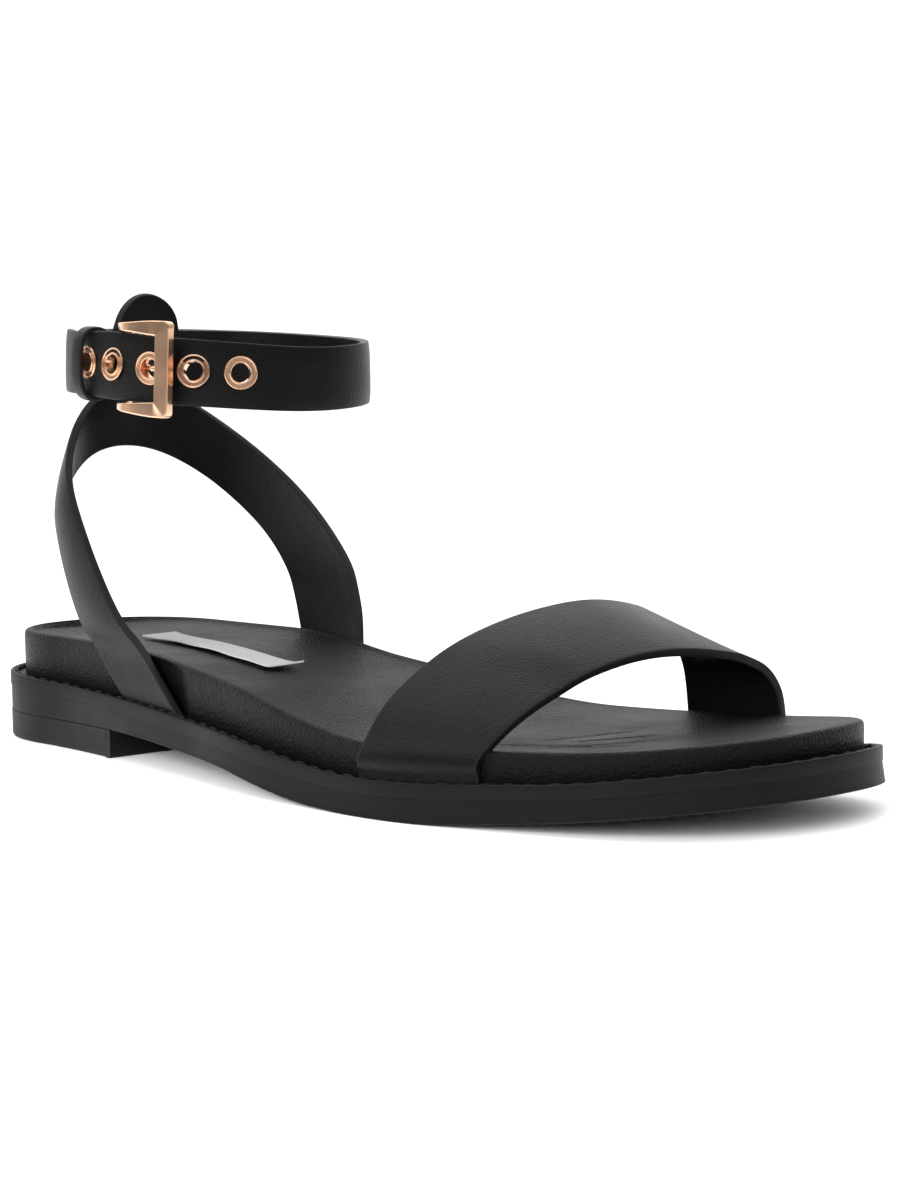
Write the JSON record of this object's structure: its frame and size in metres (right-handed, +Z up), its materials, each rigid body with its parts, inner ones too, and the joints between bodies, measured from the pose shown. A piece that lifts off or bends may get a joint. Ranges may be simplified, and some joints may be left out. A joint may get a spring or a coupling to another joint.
{
  "type": "flat sandal",
  "caption": "Open-toe flat sandal: wide toe band, heel strap with a back tab, and a buckled ankle strap with eyelets, on a low welted sole.",
  "frame": {"origin": "middle of the object's box on the floor plane", "axes": "+X from heel to toe, +Y towards the inner (medial) side of the right foot, +Z up"},
  "size_m": [0.2504, 0.0888, 0.109],
  "materials": {
    "leather": "black, smooth, satin",
    "rubber": "black, satin",
    "rose_gold": "rose gold plating, polished",
    "label": "blank white weave"
  },
  "bodies": {
    "root": {"footbed": "leather", "toe_band": "leather", "heel_ankle_strap": "leather", "keeper": "leather", "outsole": "rubber", "heel_block": "rubber", "welt": "rubber", "buckle_frame": "rose_gold", "buckle_prong": "rose_gold", "eyelet_1": "rose_gold", "eyelet_2": "rose_gold", "eyelet_3": "rose_gold", "eyelet_4": "rose_gold", "eyelet_5": "rose_gold", "label": "label"}
  },
  "joints": []
}
